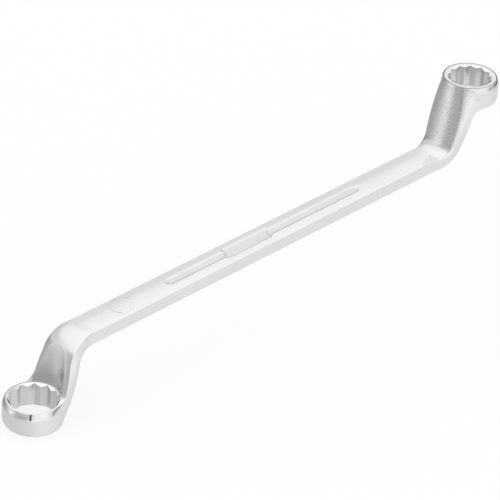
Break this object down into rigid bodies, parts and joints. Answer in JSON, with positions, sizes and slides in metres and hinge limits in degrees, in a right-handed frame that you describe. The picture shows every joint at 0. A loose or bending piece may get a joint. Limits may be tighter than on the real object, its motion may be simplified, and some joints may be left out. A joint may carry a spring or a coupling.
{
  "type": "ring spanner",
  "caption": "Double-ended deep-offset ring spanner: a flat shank with a cranked neck and a twelve-point ring at each end, the rings facing opposite ways.",
  "frame": {"origin": "middle of the overall length and width, at the level of the large ring's outer face", "axes": "+X from the 22 mm ring to the 20 mm ring, +Z along both bores, from the large ring up to the small one, Y across the width"},
  "size_m": [0.3156, 0.0306, 0.0956],
  "materials": {
    "satin_chrome": "satin chrome plate over a drop forging, polished on the ring faces and edges, matte in the hollow of the necks"
  },
  "bodies": {
    "root": {"ring_spanner": "satin_chrome"}
  },
  "joints": []
}
